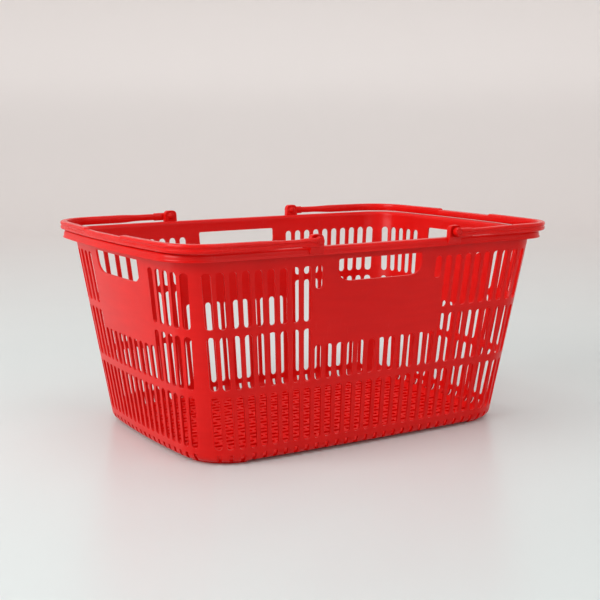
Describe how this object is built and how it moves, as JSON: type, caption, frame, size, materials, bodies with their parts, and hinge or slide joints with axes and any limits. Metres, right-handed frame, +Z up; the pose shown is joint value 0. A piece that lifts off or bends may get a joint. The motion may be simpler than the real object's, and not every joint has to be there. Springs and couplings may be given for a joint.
{
  "type": "shopping basket",
  "caption": "Open-topped tapered plastic hand basket with slotted walls, down-turned rim, hand holes and swing-over bail handles.",
  "frame": {"origin": "centre of the base, on the plane its feet stand on", "axes": "+X along the long side, +Y across, +Z up"},
  "size_m": [0.5308, 0.384, 0.252],
  "materials": {
    "tub_plastic": "semi-gloss moulded red polypropylene",
    "handle_plastic": "semi-gloss moulded red polypropylene",
    "pin_plastic": "satin moulded red polypropylene"
  },
  "bodies": {
    "tub": {"tub": "tub_plastic", "pivot_pin_left_front": "pin_plastic", "pivot_pin_left_back": "pin_plastic", "pivot_pin_right_front": "pin_plastic", "pivot_pin_right_back": "pin_plastic"},
    "handle_left": {"handle_left": "handle_plastic"},
    "handle_right": {"handle_right": "handle_plastic"}
  },
  "joints": [
    {"name": "left_handle_swing", "type": "hinge", "parent": "tub", "child": "handle_left", "pos_m": [-0.094, 0, 0.245], "axis": [0, 1, 0], "range_deg": [0, 122]},
    {"name": "right_handle_swing", "type": "hinge", "parent": "tub", "child": "handle_right", "pos_m": [0.094, 0, 0.245], "axis": [0, -1, 0], "range_deg": [0, 122]}
  ]
}
